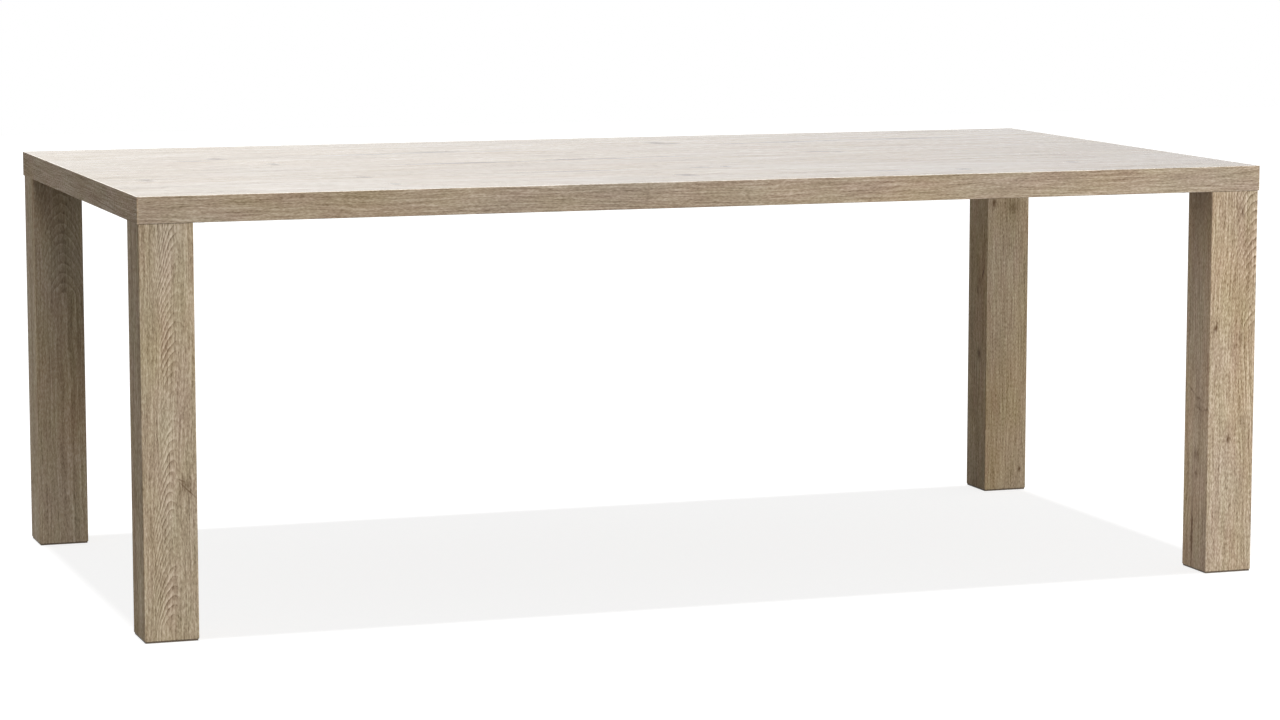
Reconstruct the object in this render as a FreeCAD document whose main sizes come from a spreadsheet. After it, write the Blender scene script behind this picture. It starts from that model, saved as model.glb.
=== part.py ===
# Parsons dining table: a hollow-core top on four square box legs that stand flush with its corners.
import FreeCAD, Part
import math
import os
import re

import Sketcher

# Driving sizes in millimetres; batten_count is a plain number.
SIZES = {
    "table_length": 2100,
    "table_width": 1100,
    "table_height": 760,
    "top_thickness": 46,
    "skin_thickness": 8,
    "band_thickness": 3,
    "band_round": 1,
    "rail_width": 40,
    "batten_width": 40,
    "batten_count": 3,
    "dowel_diameter": 8,
    "dowel_length": 40,
    "dowel_taper": 1.5,
    "dowel_end_gap": 0.5,
    "cell_across": 80,
    "cell_wall": 2,
    "core_clearance": 0.5,
    "corner_margin": 10,
    "leg_side": 95,
    "leg_setback": 1.5,
    "leg_round": 1.5,
    "end_bevel": 1.2,
    "panel_thickness": 16,
    "top_block_height": 90,
    "foot_block_height": 40,
    "foot_pad_thickness": 3,
    "foot_pad_setback": 2,
    "plate_thickness": 4,
    "plate_margin": 2,
    "plate_reach": 55,
    "plate_round": 8,
    "plate_clearance": 0.5,
    "bolt_diameter": 8,
    "bolt_length": 25,
    "bolt_head_across": 13,
    "bolt_head_height": 6,
    "bolt_flange_diameter": 18,
    "bolt_flange_thickness": 1.5,
    "bolt_edge_distance": 25,
    "bolt_hole_clearance": 0.5,
    "insert_diameter": 12,
    "insert_length": 20,
    "plate_screw_diameter": 5,
    "plate_screw_head_diameter": 10,
    "plate_screw_length": 45,
    "pad_screw_diameter": 3.5,
    "pad_screw_head_diameter": 7,
    "pad_screw_length": 25,
    "screw_tip_length": 5,
    "screw_edge_distance": 12,
    "pilot_end_gap": 1,
    "fit_clearance": 0.1,
}

# Formulas that more than one piece shares, each in the names of the sizes above.
UNDERSIDE = "(table_height - top_thickness)"
CORE_BOTTOM = f"({UNDERSIDE} + skin_thickness)"
CORE_HEIGHT = "(top_thickness - 2 * skin_thickness)"
FRAME_INSIDE = "(band_thickness + rail_width)"
BATTEN_PITCH = f"((table_length - 2 * {FRAME_INSIDE}) / (batten_count + 1))"
CROSS_LENGTH = f"(table_width - 2 * {FRAME_INSIDE})"
LEG_MIDDLE = "(leg_setback + leg_side / 2)"
LEG_END = "(leg_setback + leg_side)"
LEG_INSIDE = "(leg_side - 2 * panel_thickness)"
PLATE_START = "(leg_setback + panel_thickness + plate_margin)"
PLATE_END = f"({LEG_END} + plate_reach)"
BLOCK_END = f"({PLATE_END} + corner_margin)"
BOLT_NEAR = f"({FRAME_INSIDE} + bolt_edge_distance)"
BOLT_FAR = f"({LEG_END} + plate_reach / 2)"
BOLT_PLACES = ((BOLT_FAR, BOLT_FAR), (BOLT_FAR, BOLT_NEAR), (BOLT_NEAR, BOLT_FAR))
SCREW_OFFSET = f"({LEG_INSIDE} / 2 - screw_edge_distance)"
DOWEL_HOLE_DEPTH = "(dowel_length / 2 + dowel_end_gap)"

# Each corner of the table: the sign of x, the sign of y, and the turn that points a corner piece inwards.
CORNERS = {
    "front_left": (-1, -1, 0),
    "front_right": (1, -1, 90),
    "rear_right": (1, 1, 180),
    "rear_left": (-1, 1, 270),
}
SIDE_TURNS = {"front": 0, "right": 90, "rear": 180, "left": 270}

# How a sketch numbers its own origin, its two axes, and the points of a line, an arc or a circle.
ORIGIN = (-1, 1)
ACROSS_AXIS = -1
UPRIGHT_AXIS = -2
START, END, CENTRE = range(1, 4)

UP = FreeCAD.Vector(0, 0, 1)
UPRIGHT = FreeCAD.Rotation()
LYING = FreeCAD.Rotation(FreeCAD.Vector(1, 0, 0), -90)
UPSIDE_DOWN = FreeCAD.Rotation(FreeCAD.Vector(1, 0, 0), 180)
NEARNESS = 0.001

doc = FreeCAD.newDocument("parsons_dining_table")
sheet = doc.addObject("Spreadsheet::Sheet", "Sizes")
pieces = []


def fill_sheet():
    """Write every driving size into the sheet under its own alias."""
    for row, (alias, number) in enumerate(SIZES.items(), start=1):
        sheet.set(f"A{row}", alias)
        sheet.set(f"B{row}", str(number))
        sheet.setAlias(f"B{row}", alias)
    doc.recompute()


def bound(formula):
    """The formula with the name of every size turned into a reference to its cell."""
    def reference(word):
        return f"Sizes.{word.group()}" if word.group() in SIZES else word.group()
    return re.sub(r"[a-z_]+", reference, formula)


def value(formula):
    """What the formula comes to with the sizes in the sheet."""
    return float(sheet.evalExpression(bound(formula)))


def turned(degrees):
    """A turn about the vertical."""
    return FreeCAD.Rotation(UP, degrees)


def place(piece, x, y, z, rotation=UPRIGHT):
    """Turn a piece, and bind where its own origin stands."""
    piece.Placement = FreeCAD.Placement(FreeCAD.Vector(), rotation)
    for axis, formula in zip("xyz", (x, y, z)):
        piece.setExpression(f"Placement.Base.{axis}", bound(formula))


def corner_point(corner, along, across):
    """Where a point at these distances from a corner's two edges lies, seen from the middle of the table."""
    sign_x, sign_y, turn = CORNERS[corner]
    if turn in (90, 270):
        along, across = across, along
    return f"{sign_x} * (table_length / 2 - {along})", f"{sign_y} * (table_width / 2 - {across})"


def new_body(name):
    """A body that will be written out as a piece of the table."""
    body = doc.addObject("PartDesign::Body", name)
    body.Label = name
    pieces.append(body)
    return body


def new_sketch(body, name, plane_role="XY_Plane", offset="0"):
    """A sketch on one of the body's own planes, moved along that plane's normal."""
    plane = next(item for item in body.Origin.OriginFeatures if item.Role == plane_role)
    sketch = body.newObject("Sketcher::SketchObject", f"{body.Name}_{name}")
    sketch.AttachmentSupport = [(plane, "")]
    sketch.MapMode = "FlatFace"
    sketch.setExpression("AttachmentOffset.Base.z", bound(offset))
    return sketch


def bind_constraint(sketch, formula, kind, *where):
    """Add a constraint whose size follows a formula."""
    number = sketch.addConstraint(Sketcher.Constraint(kind, *where, value(formula)))
    sketch.setExpression(f"Constraints[{number}]", bound(formula))


def hold(sketch, geometry, point, x, y):
    """Hold a point of the sketch at these distances from the sketch's origin."""
    for kind, axis, formula in (("DistanceX", UPRIGHT_AXIS, x), ("DistanceY", ACROSS_AXIS, y)):
        if formula == "0":
            sketch.addConstraint(Sketcher.Constraint("PointOnObject", geometry, point, axis))
        else:
            bind_constraint(sketch, formula, kind, *ORIGIN, geometry, point)


def draw_rectangle(sketch, left, low, right, high):
    """Draw a rectangle with two opposite corners held from the sketch's origin."""
    x_low, y_low, x_high, y_high = value(left), value(low), value(right), value(high)
    corners = [(x_low, y_low), (x_high, y_low), (x_high, y_high), (x_low, y_high)]
    points = [FreeCAD.Vector(x, y, 0) for x, y in corners]
    first = sketch.GeometryCount
    for index, point in enumerate(points):
        sketch.addGeometry(Part.LineSegment(point, points[(index + 1) % len(points)]))
    for index in range(len(points)):
        following = first + (index + 1) % len(points)
        direction = "Vertical" if index % 2 else "Horizontal"
        sketch.addConstraint(Sketcher.Constraint("Coincident", first + index, END, following, START))
        sketch.addConstraint(Sketcher.Constraint(direction, first + index))
    hold(sketch, first, START, left, low)
    hold(sketch, first + 1, END, right, high)


def draw_circle(sketch, x, y, diameter):
    """Draw a circle with its centre held from the sketch's origin."""
    middle = FreeCAD.Vector(value(x), value(y), 0)
    circle = sketch.addGeometry(Part.Circle(middle, UP, value(diameter) / 2))
    hold(sketch, circle, CENTRE, x, y)
    bind_constraint(sketch, diameter, "Diameter", circle)


def pad(body, sketch, length):
    """Raise a sketch into a solid along its plane's normal."""
    feature = body.newObject("PartDesign::Pad", f"{sketch.Name}_pad")
    feature.Profile = sketch
    feature.setExpression("Length", bound(length))
    return feature


def pocket(body, sketch, depth, along_normal):
    """Sink a sketch into the body, along its plane's normal or against it."""
    feature = body.newObject("PartDesign::Pocket", f"{sketch.Name}_pocket")
    feature.Profile = sketch
    feature.Reversed = along_normal
    feature.setExpression("Length", bound(depth))
    return feature


def dress_edges(body, base, kind, size_property, size, is_chosen):
    """Round or bevel the edges of a feature that pass a test."""
    base.recompute(True)
    edges = [f"Edge{number}" for number, edge in enumerate(base.Shape.Edges, start=1) if is_chosen(edge)]
    feature = body.newObject(f"PartDesign::{kind}", f"{base.Name}_{kind.lower()}")
    feature.Base = (base, edges)
    feature.setExpression(size_property, bound(size))
    return feature


def ends_at(edge, axis, level):
    """Whether both ends of an edge lie at one level along an axis."""
    return all(abs(getattr(vertex.Point, axis) - level) < NEARNESS for vertex in edge.Vertexes)


def board(name, length, width, thickness):
    """A plain board with one corner at its own origin."""
    body = new_body(name)
    sketch = new_sketch(body, "outline")
    draw_rectangle(sketch, "0", "0", length, width)
    pad(body, sketch, thickness)
    return body


def slab_board(name, left, low, right, high, bottom, thickness):
    """A board of the table top, set out from the front left corner of the top."""
    body = board(name, f"({right} - {left})", f"({high} - {low})", thickness)
    place(body, f"{left} - table_length / 2", f"{low} - table_width / 2", bottom)
    return body


def make_top_board():
    """The upper face board of the top, inside the edge bands."""
    slab_board(
        "top_board", "band_thickness", "band_thickness", "(table_length - band_thickness)",
        "(table_width - band_thickness)", "table_height - skin_thickness", "skin_thickness",
    )


def make_bottom_board():
    """The lower face board, let in for the four mounting plates and bored for their bolts."""
    body = slab_board(
        "bottom_board", "band_thickness", "band_thickness", "(table_length - band_thickness)",
        "(table_width - band_thickness)", UNDERSIDE, "skin_thickness",
    )
    near = f"({PLATE_START} - plate_clearance - band_thickness)"
    far = f"({PLATE_END} + plate_clearance - band_thickness)"
    length = "(table_length - 2 * band_thickness)"
    width = "(table_width - 2 * band_thickness)"
    recesses = new_sketch(body, "recesses")
    for left, right in ((near, far), (f"({length} - {far})", f"({length} - {near})")):
        for low, high in ((near, far), (f"({width} - {far})", f"({width} - {near})")):
            draw_rectangle(recesses, left, low, right, high)
    pocket(body, recesses, "plate_thickness", True)
    holes = new_sketch(body, "bolt_holes")
    for along, across in BOLT_PLACES:
        along = f"({along} - band_thickness)"
        across = f"({across} - band_thickness)"
        for x in (along, f"({length} - {along})"):
            for y in (across, f"({width} - {across})"):
                draw_circle(holes, x, y, "(bolt_diameter + 2 * bolt_hole_clearance)")
    pocket(body, holes, "skin_thickness", True)


def batten_middle(index):
    """How far the middle of a cross batten lies from the left end of the table."""
    return f"({FRAME_INSIDE} + {BATTEN_PITCH} * {index})"


def cross_middles():
    """How far the middles of both end rails and all battens lie from the left end of the table."""
    rail_middle = "(band_thickness + rail_width / 2)"
    battens = [batten_middle(index + 1) for index in range(int(value("batten_count")))]
    return [rail_middle, *battens, f"(table_length - {rail_middle})"]


def bore_ends(body, name, places, offset, inwards):
    """Sink dowel holes along the depth of the table, at half the height of the core."""
    sketch = new_sketch(body, name, "XZ_Plane", offset)
    for place_along in places:
        draw_circle(sketch, place_along, f"({CORE_HEIGHT} / 2)", "(dowel_diameter + 2 * fit_clearance)")
    pocket(body, sketch, DOWEL_HOLE_DEPTH, inwards)


def make_long_rails():
    """The front and rear rails of the frame inside the top, bored for the dowels of the cross pieces."""
    places = [f"({middle} - band_thickness)" for middle in cross_middles()]
    rows = {"front": "band_thickness", "rear": f"(table_width - {FRAME_INSIDE})"}
    for side, low in rows.items():
        body = slab_board(
            f"{side}_rail", "band_thickness", low, "(table_length - band_thickness)",
            f"({low} + rail_width)", CORE_BOTTOM, CORE_HEIGHT,
        )
        if side == "front":
            bore_ends(body, "dowel_holes", places, "-rail_width", True)
        else:
            bore_ends(body, "dowel_holes", places, "0", False)


def make_cross_piece(name, left, width):
    """A rail or batten between the two long rails, bored for a dowel at both ends."""
    body = slab_board(
        name, left, FRAME_INSIDE, f"({left} + {width})", f"(table_width - {FRAME_INSIDE})",
        CORE_BOTTOM, CORE_HEIGHT,
    )
    bore_ends(body, "front_dowel_hole", [f"({width} / 2)"], "0", False)
    bore_ends(body, "rear_dowel_hole", [f"({width} / 2)"], f"-{CROSS_LENGTH}", True)


def make_cross_pieces():
    """The two end rails and the battens that cross the top."""
    make_cross_piece("left_rail", "band_thickness", "rail_width")
    make_cross_piece("right_rail", f"(table_length - {FRAME_INSIDE})", "rail_width")
    for index in range(int(value("batten_count"))):
        make_cross_piece(
            f"cross_batten_{index + 1}", f"({batten_middle(index + 1)} - batten_width / 2)", "batten_width",
        )


def make_corner_blocks():
    """The solid block in each corner of the frame, bored from below for three threaded inserts."""
    for corner in CORNERS:
        body = new_body(f"{corner}_corner_block")
        sketch = new_sketch(body, "outline")
        draw_rectangle(sketch, FRAME_INSIDE, FRAME_INSIDE, BLOCK_END, BLOCK_END)
        pad(body, sketch, CORE_HEIGHT)
        holes = new_sketch(body, "insert_holes")
        for along, across in BOLT_PLACES:
            draw_circle(holes, along, across, "(insert_diameter + 2 * fit_clearance)")
        pocket(body, holes, "(insert_length + pilot_end_gap)", True)
        place(body, *corner_point(corner, "0", "0"), CORE_BOTTOM, turned(CORNERS[corner][2]))


def hexagon(x, y):
    """A face with the outline of one honeycomb cell."""
    reach = value("cell_across / sqrt(3)")
    angles = [math.radians(30 + 60 * index) for index in range(7)]
    ring = [FreeCAD.Vector(x + reach * math.cos(angle), y + reach * math.sin(angle), 0) for angle in angles]
    return Part.Face(Part.makePolygon(ring))


def bay_face(left, right, inset):
    """The plan of a bay between cross pieces, less the corner blocks, drawn in by an inset."""
    low = value(FRAME_INSIDE) + inset
    high = value(f"table_width - {FRAME_INSIDE}") - inset
    face = Part.makePlane(right - left - 2 * inset, high - low, FreeCAD.Vector(left + inset, low, 0))
    block = value(BLOCK_END) + inset
    for x in (0, value("table_length") - block):
        for y in (0, value("table_width") - block):
            face = face.cut(Part.makePlane(block, block, FreeCAD.Vector(x, y, 0)))
    return face


def make_honeycomb():
    """The expanded paper honeycomb that fills each bay of the frame."""
    bays = int(value("batten_count")) + 1
    clearance = value("core_clearance")
    wall = value("cell_wall")
    pitch = value("cell_across") + wall
    row_height = pitch * math.sqrt(3) / 2
    rows = math.ceil(value("table_width") / row_height)
    smallest_cell = value("cell_across * cell_wall")
    for bay in range(bays):
        left = value(FRAME_INSIDE if bay == 0 else f"{batten_middle(bay)} + batten_width / 2")
        last = f"table_length - {FRAME_INSIDE}"
        right = value(last if bay == bays - 1 else f"{batten_middle(bay + 1)} - batten_width / 2")
        columns = math.ceil((right - left) / pitch) + 1
        middles = [
            (left + pitch * (column + row % 2 / 2), row_height * row)
            for row in range(rows + 1) for column in range(columns)
        ]
        room = bay_face(left, right, clearance + wall)
        cells = room.common(Part.makeCompound([hexagon(x, y) for x, y in middles]))
        open_cells = [cell for cell in cells.Faces if cell.Area > smallest_cell]
        walls = bay_face(left, right, clearance).cut(Part.makeCompound(open_cells))
        core = doc.addObject("Part::Feature", f"honeycomb_bay_{bay + 1}")
        core.Label = core.Name
        core.Shape = walls.Faces[0].extrude(UP * value(CORE_HEIGHT))
        place(core, "-table_length / 2", "-table_width / 2", CORE_BOTTOM)
        pieces.append(core)


def make_edge_bands():
    """The four edge bands; the end bands run the full width and cap the long ones."""
    half_length = "table_length / 2"
    half_width = "table_width / 2"
    long_start = f"({half_length} - band_thickness)"
    starts = {
        "front": (f"-{long_start}", f"-{half_width}"),
        "right": (half_length, f"-{half_width}"),
        "rear": (long_start, half_width),
        "left": (f"-{half_length}", half_width),
    }
    for side, (x, y) in starts.items():
        is_long = side in ("front", "rear")
        length = "(table_length - 2 * band_thickness)" if is_long else "table_width"
        body = board(f"{side}_edge_band", length, "band_thickness", "top_thickness")

        def is_outer(edge, is_long=is_long):
            upright = abs(edge.Vertexes[0].Z - edge.Vertexes[-1].Z) > NEARNESS
            return ends_at(edge, "y", 0) and not (is_long and upright)

        dress_edges(body, body.Tip, "Fillet", "Radius", "band_round", is_outer)
        place(body, x, y, UNDERSIDE, turned(SIDE_TURNS[side]))


def draw_panel_section(sketch):
    """Draw a leg panel's section: mitred at both ends, with half of the leg's round at each outer tip."""
    side = value("leg_side")
    thick = value("panel_thickness")
    radius = value("leg_round")
    quarter = math.radians(90)
    eighth = math.radians(45)
    tip = radius * (1 - math.cos(eighth))
    line = [
        FreeCAD.Vector(radius, 0, 0),
        FreeCAD.Vector(side - radius, 0, 0),
        FreeCAD.Vector(side - tip, tip, 0),
        FreeCAD.Vector(side - thick, thick, 0),
        FreeCAD.Vector(thick, thick, 0),
        FreeCAD.Vector(tip, tip, 0),
    ]
    right_circle = Part.Circle(FreeCAD.Vector(side - radius, radius, 0), UP, radius)
    left_circle = Part.Circle(FreeCAD.Vector(radius, radius, 0), UP, radius)
    face = sketch.addGeometry(Part.LineSegment(line[0], line[1]))
    right_round = sketch.addGeometry(Part.ArcOfCircle(right_circle, -quarter, -eighth))
    right_mitre = sketch.addGeometry(Part.LineSegment(line[2], line[3]))
    back = sketch.addGeometry(Part.LineSegment(line[3], line[4]))
    left_mitre = sketch.addGeometry(Part.LineSegment(line[4], line[5]))
    left_round = sketch.addGeometry(Part.ArcOfCircle(left_circle, -quarter - eighth, -quarter))
    joins = [(right_round, right_mitre), (right_mitre, back), (back, left_mitre), (left_mitre, left_round)]
    for before, after in joins:
        sketch.addConstraint(Sketcher.Constraint("Coincident", before, END, after, START))
    for before, after in ((left_round, face), (face, right_round)):
        sketch.addConstraint(Sketcher.Constraint("Tangent", before, END, after, START))
    for straight in (face, back):
        sketch.addConstraint(Sketcher.Constraint("Horizontal", straight))
    for rounded, mitre in ((right_round, right_mitre), (left_round, left_mitre)):
        sketch.addConstraint(Sketcher.Constraint("PointOnObject", rounded, CENTRE, mitre))
        bind_constraint(sketch, "leg_round", "Radius", rounded)
    sketch.addConstraint(Sketcher.Constraint("PointOnObject", face, START, ACROSS_AXIS))
    hold(sketch, left_mitre, START, "panel_thickness", "panel_thickness")
    bind_constraint(sketch, "(leg_side - panel_thickness)", "DistanceX", *ORIGIN, back, START)
    bind_constraint(sketch, "leg_round", "DistanceX", *ORIGIN, left_round, CENTRE)
    bind_constraint(sketch, "(leg_side - leg_round)", "DistanceX", *ORIGIN, right_round, CENTRE)


def make_leg_panels(corner):
    """The four mitred panels of one box leg, from the foot pad up to the underside of the top."""
    sign_x, sign_y, _ = CORNERS[corner]
    middle_x = f"{sign_x} * (table_length / 2 - {LEG_MIDDLE})"
    middle_y = f"{sign_y} * (table_width / 2 - {LEG_MIDDLE})"
    starts = {"front": (-1, -1), "right": (1, -1), "rear": (1, 1), "left": (-1, 1)}
    height = f"({UNDERSIDE} - foot_pad_thickness)"
    for side, (step_x, step_y) in starts.items():
        body = new_body(f"{corner}_leg_{side}_panel")
        sketch = new_sketch(body, "section")
        draw_panel_section(sketch)
        column = pad(body, sketch, height)
        ends = (0, value(height))

        def is_end(edge, ends=ends):
            return ends_at(edge, "y", 0) and any(ends_at(edge, "z", level) for level in ends)

        dress_edges(body, column, "Chamfer", "Size", "end_bevel", is_end)
        place(
            body, f"{middle_x} + {step_x} * leg_side / 2", f"{middle_y} + {step_y} * leg_side / 2",
            "foot_pad_thickness", turned(SIDE_TURNS[side]),
        )


def screw_places():
    """Where the four plate screws stand, measured from the two edges of the table."""
    near = f"({LEG_MIDDLE} - {SCREW_OFFSET})"
    far = f"({LEG_MIDDLE} + {SCREW_OFFSET})"
    return [(near, near), (near, far), (far, near), (far, far)]


def pad_screw_places():
    """Where the two foot pad screws stand, on a diagonal of the leg."""
    return [screw_places()[0], screw_places()[-1]]


def leg_fill(name, corner, bottom, height):
    """A block that fills the inside of a box leg, set out from the corner of the table."""
    near = "(leg_setback + panel_thickness)"
    far = f"({near} + {LEG_INSIDE})"
    body = new_body(name)
    sketch = new_sketch(body, "outline")
    draw_rectangle(sketch, near, near, far, far)
    pad(body, sketch, height)
    place(body, *corner_point(corner, "0", "0"), bottom, turned(CORNERS[corner][2]))
    return body


def make_leg_blocks(corner):
    """The blocks glued into the top and the foot of one leg, with pilot holes for their screws."""
    top = leg_fill(f"{corner}_leg_top_block", corner, f"{UNDERSIDE} - top_block_height", "top_block_height")
    top_holes = new_sketch(top, "pilot_holes", offset="top_block_height")
    for along, across in screw_places():
        draw_circle(top_holes, along, across, "(plate_screw_diameter + 2 * fit_clearance)")
    pocket(top, top_holes, "(plate_screw_length - plate_thickness + pilot_end_gap)", False)
    foot = leg_fill(f"{corner}_leg_foot_block", corner, "foot_pad_thickness", "foot_block_height")
    foot_holes = new_sketch(foot, "pilot_holes")
    for along, across in pad_screw_places():
        draw_circle(foot_holes, along, across, "(pad_screw_diameter + 2 * fit_clearance)")
    pocket(foot, foot_holes, "(pad_screw_length - foot_pad_thickness + pilot_end_gap)", True)


def countersink(body, base, prefix, level):
    """Bevel the screw holes of a plate at one level so that the screw heads sit just under its face."""
    bevel = f"(({prefix}_head_diameter - {prefix}_diameter) / 2 + fit_clearance)"

    def is_mouth(edge):
        return isinstance(edge.Curve, Part.Circle) and ends_at(edge, "z", level) and edge.isClosed()

    return dress_edges(body, base, "Chamfer", "Size", bevel, is_mouth)


def make_mounting_plate(corner):
    """The steel plate that joins a leg to the top: screwed down to the leg, bolted up to the corner block."""
    body = new_body(f"{corner}_mounting_plate")
    sketch = new_sketch(body, "outline")
    draw_rectangle(sketch, PLATE_START, PLATE_START, PLATE_END, PLATE_END)
    plate = pad(body, sketch, "plate_thickness")

    def is_upright(edge):
        return abs(edge.Vertexes[0].Z - edge.Vertexes[-1].Z) > NEARNESS

    dress_edges(body, plate, "Fillet", "Radius", "plate_round", is_upright)
    screw_holes = new_sketch(body, "screw_holes")
    for along, across in screw_places():
        draw_circle(screw_holes, along, across, "(plate_screw_diameter + 2 * fit_clearance)")
    bored = pocket(body, screw_holes, "plate_thickness", True)
    countersink(body, bored, "plate_screw", value("plate_thickness"))
    bolt_holes = new_sketch(body, "bolt_holes")
    for along, across in BOLT_PLACES:
        draw_circle(bolt_holes, along, across, "(bolt_diameter + 2 * bolt_hole_clearance)")
    pocket(body, bolt_holes, "plate_thickness", True)
    place(body, *corner_point(corner, "0", "0"), UNDERSIDE, turned(CORNERS[corner][2]))


def make_foot_pad(corner):
    """The plastic pad under one leg, drawn in from its faces and countersunk from below."""
    near = "(leg_setback + foot_pad_setback)"
    far = f"({LEG_END} - foot_pad_setback)"
    body = new_body(f"{corner}_foot_pad")
    sketch = new_sketch(body, "outline")
    draw_rectangle(sketch, near, near, far, far)
    pad(body, sketch, "foot_pad_thickness")
    holes = new_sketch(body, "screw_holes")
    for along, across in pad_screw_places():
        draw_circle(holes, along, across, "(pad_screw_diameter + 2 * fit_clearance)")
    bored = pocket(body, holes, "foot_pad_thickness", True)
    countersink(body, bored, "pad_screw", 0)
    place(body, *corner_point(corner, "0", "0"), "0", turned(CORNERS[corner][2]))


def cylinder(name, diameter, height, bottom):
    """An upright cylinder on the vertical axis."""
    shape = doc.addObject("Part::Cylinder", name)
    shape.setExpression("Radius", bound(f"{diameter} / 2"))
    shape.setExpression("Height", bound(height))
    place(shape, "0", "0", bottom)
    return shape


def cone(name, low_diameter, high_diameter, height, bottom):
    """An upright cone with a flat tip on the vertical axis."""
    shape = doc.addObject("Part::Cone", name)
    shape.setExpression("Radius1", bound(f"{low_diameter} / 2"))
    shape.setExpression("Radius2", bound(f"{high_diameter} / 2"))
    shape.setExpression("Height", bound(height))
    place(shape, "0", "0", bottom)
    return shape


def fused(name, shapes):
    """Several shapes joined into one solid."""
    whole = doc.addObject("Part::MultiFuse", name)
    whole.Shapes = shapes
    return whole


def countersunk_screw(prefix):
    """A wood screw that points down from the flat of its head."""
    head = f"(({prefix}_head_diameter - {prefix}_diameter) / 2)"
    tip = f"({prefix}_length - screw_tip_length)"
    return fused(f"{prefix}_model", [
        cone(f"{prefix}_head", f"{prefix}_diameter", f"{prefix}_head_diameter", head, f"-{head}"),
        cylinder(f"{prefix}_shank", f"{prefix}_diameter", f"{tip} - {head}", f"-{tip}"),
        cone(f"{prefix}_tip", f"{prefix}_diameter / 4", f"{prefix}_diameter", "screw_tip_length",
             f"-{prefix}_length"),
    ])


def flange_bolt():
    """A hexagon bolt that points up from the seat of its flange."""
    head = doc.addObject("Part::Prism", "bolt_head")
    head.Polygon = 6
    head.setExpression("Circumradius", bound("bolt_head_across / sqrt(3)"))
    head.setExpression("Height", bound("bolt_head_height - bolt_flange_thickness / 2"))
    place(head, "0", "0", "-bolt_head_height")
    flange = cylinder(
        "bolt_flange", "bolt_flange_diameter", "bolt_flange_thickness", "-bolt_flange_thickness",
    )
    shank = cylinder("bolt_shank", "bolt_diameter", "bolt_length + bolt_flange_thickness / 2",
                     "-bolt_flange_thickness / 2")
    return fused("bolt_model", [head, flange, shank])


def threaded_insert():
    """A steel sleeve for the bolt's thread."""
    sleeve = doc.addObject("Part::Cut", "insert_model")
    sleeve.Base = cylinder("insert_outside", "insert_diameter", "insert_length", "0")
    sleeve.Tool = cylinder("insert_bore", "(bolt_diameter + 2 * fit_clearance)", "insert_length", "0")
    return sleeve


def frame_dowel():
    """A wooden dowel with tapered ends, standing on its lower end."""
    tapered = "(dowel_diameter - dowel_taper)"
    return fused("dowel_model", [
        cone("dowel_foot", tapered, "dowel_diameter", "dowel_taper", "0"),
        cylinder("dowel_middle", "dowel_diameter", "dowel_length - 2 * dowel_taper", "dowel_taper"),
        cone("dowel_head", "dowel_diameter", tapered, "dowel_taper", "dowel_length - dowel_taper"),
    ])


def make_group(name, model, spots, rotation=UPRIGHT):
    """Set copies of one fastener at many spots, as one piece of separate solids."""
    copies = []
    for number, spot in enumerate(spots, start=1):
        copy = doc.addObject("App::Link", f"{name}_{number}")
        copy.LinkedObject = model
        place(copy, *spot, rotation)
        copies.append(copy)
    group = doc.addObject("Part::Compound", name)
    group.Label = name
    group.Links = copies
    pieces.append(group)


def make_fasteners():
    """All bolts, inserts, screws and dowels."""
    bolt_spots = [corner_point(corner, *spot) for corner in CORNERS for spot in BOLT_PLACES]
    screw_spots = [corner_point(corner, *spot) for corner in CORNERS for spot in screw_places()]
    pad_spots = [corner_point(corner, *spot) for corner in CORNERS for spot in pad_screw_places()]
    screw_top = f"{UNDERSIDE} + plate_thickness - fit_clearance"
    rear_joint = f"(table_width - {FRAME_INSIDE})"
    dowel_spots = [
        (f"{middle} - table_length / 2", f"{joint} - (table_width + dowel_length) / 2",
         f"{CORE_BOTTOM} + {CORE_HEIGHT} / 2")
        for middle in cross_middles() for joint in (FRAME_INSIDE, rear_joint)
    ]
    make_group("plate_bolts", flange_bolt(), [(x, y, UNDERSIDE) for x, y in bolt_spots])
    make_group("threaded_inserts", threaded_insert(), [(x, y, CORE_BOTTOM) for x, y in bolt_spots])
    make_group("plate_screws", countersunk_screw("plate_screw"), [(x, y, screw_top) for x, y in screw_spots])
    make_group(
        "foot_pad_screws", countersunk_screw("pad_screw"),
        [(x, y, "fit_clearance") for x, y in pad_spots], UPSIDE_DOWN,
    )
    make_group("frame_dowels", frame_dowel(), dowel_spots, LYING)


def check_document():
    """Stop if any object failed to build or any piece lacks a valid shape."""
    for item in doc.Objects:
        if "Invalid" in item.State or "Error" in item.State:
            raise RuntimeError(f"{item.Label} did not build: {item.State}")
    for piece in pieces:
        if piece.Shape.isNull() or not piece.Shape.isValid():
            raise RuntimeError(f"{piece.Label} has no valid shape")


def write_pieces():
    """Write each piece to its own file."""
    os.makedirs("parts", exist_ok=True)
    for piece in pieces:
        piece.Shape.exportStep(f"parts/{piece.Label}.step")


fill_sheet()
make_top_board()
make_bottom_board()
make_long_rails()
make_cross_pieces()
make_corner_blocks()
make_honeycomb()
make_edge_bands()
for corner_name in CORNERS:
    make_leg_panels(corner_name)
    make_leg_blocks(corner_name)
    make_mounting_plate(corner_name)
    make_foot_pad(corner_name)
make_fasteners()
doc.recompute()
check_document()
write_pieces()
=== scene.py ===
"""Dresses a parsons dining table: an oak-faced hollow slab on four mitred box legs."""

import math

import bmesh
import bpy
from bpy.props import (
    FloatProperty,
    FloatVectorProperty,
    IntProperty,
    PointerProperty,
)
from mathutils import Matrix, Vector


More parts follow.
